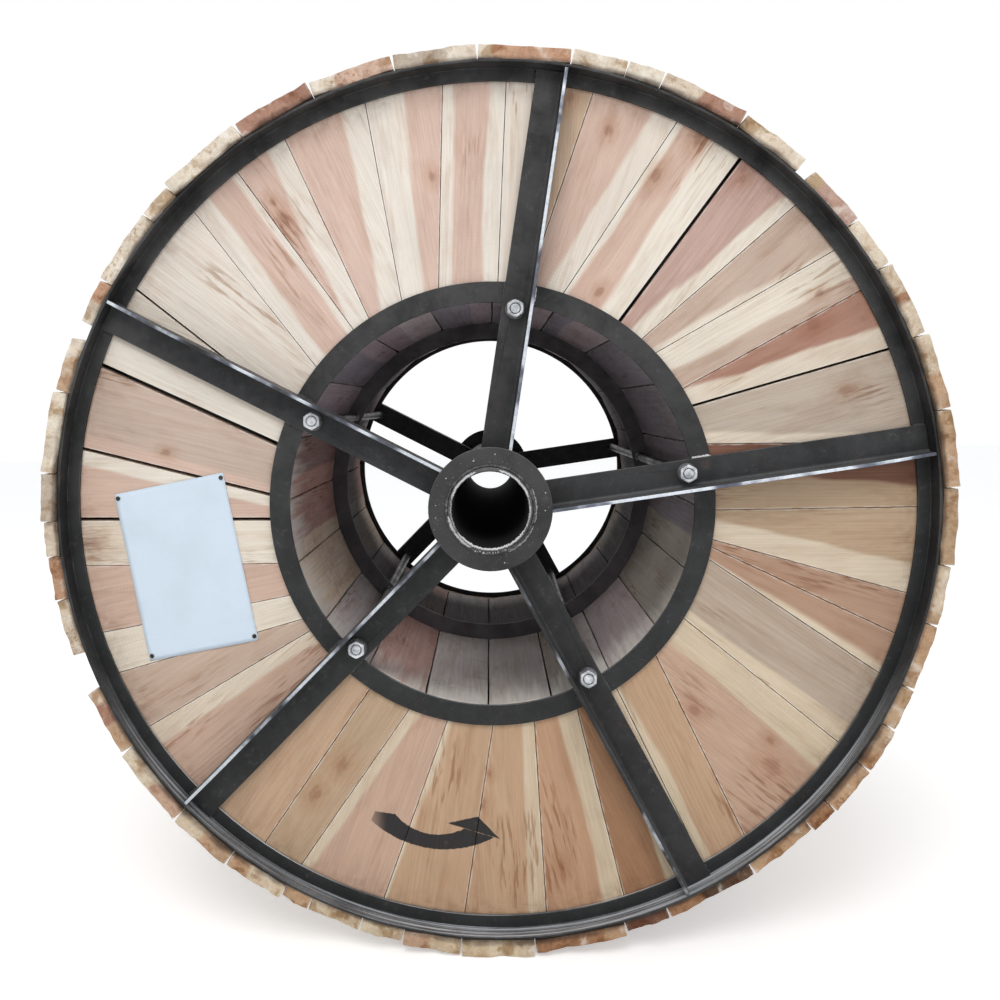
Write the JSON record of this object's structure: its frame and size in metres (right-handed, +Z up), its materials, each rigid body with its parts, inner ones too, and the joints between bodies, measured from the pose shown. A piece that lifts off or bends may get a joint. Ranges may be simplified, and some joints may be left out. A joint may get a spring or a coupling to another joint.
{
  "type": "fiber optic cable reel",
  "caption": "Steel-framed wooden cable drum standing on its rim, with angle-iron spokes, a tube hub, wedge planks in the flanges and lagging boards round the coil.",
  "frame": {"origin": "centre of the hub bore, half way along the drum's axis", "axes": "+Y along the drum's axis from the front flange to the rear one, +Z up, +X to the right of the front flange"},
  "size_m": [1.349, 0.974, 1.3495],
  "materials": {
    "painted_steel": "satin dark grey paint",
    "hub_steel": "dark grey paint, worn at the mouth",
    "hoop_steel": "matte black paint",
    "zinc_steel": "zinc plated",
    "strap_steel": "blued strapping",
    "plank_wood": "sawn, unfinished",
    "stave_wood": "sawn, weathered",
    "lagging_wood": "rough sawn",
    "cable_sheath": "matte black",
    "paper": "plain sheet"
  },
  "bodies": {
    "root": {"barrel_ring_front": "painted_steel", "barrel_ring_rear": "painted_steel", "barrel_staves": "stave_wood", "cable_winding": "cable_sheath", "flange_planks_front": "plank_wood", "flange_planks_rear": "plank_wood", "hub": "hub_steel", "lagging_boards": "lagging_wood", "mid_hoop": "hoop_steel", "outer_rim_front": "painted_steel", "outer_rim_rear": "painted_steel", "paper_sheet": "paper", "spoke_front_1": "painted_steel", "spoke_front_2": "painted_steel", "spoke_front_3": "painted_steel", "spoke_front_4": "painted_steel", "spoke_front_5": "painted_steel", "spoke_rear_1": "painted_steel", "spoke_rear_2": "painted_steel", "spoke_rear_3": "painted_steel", "spoke_rear_4": "painted_steel", "spoke_rear_5": "painted_steel", "steel_strap_front": "strap_steel", "steel_strap_rear": "strap_steel", "tie_rods": "zinc_steel"}
  },
  "joints": []
}
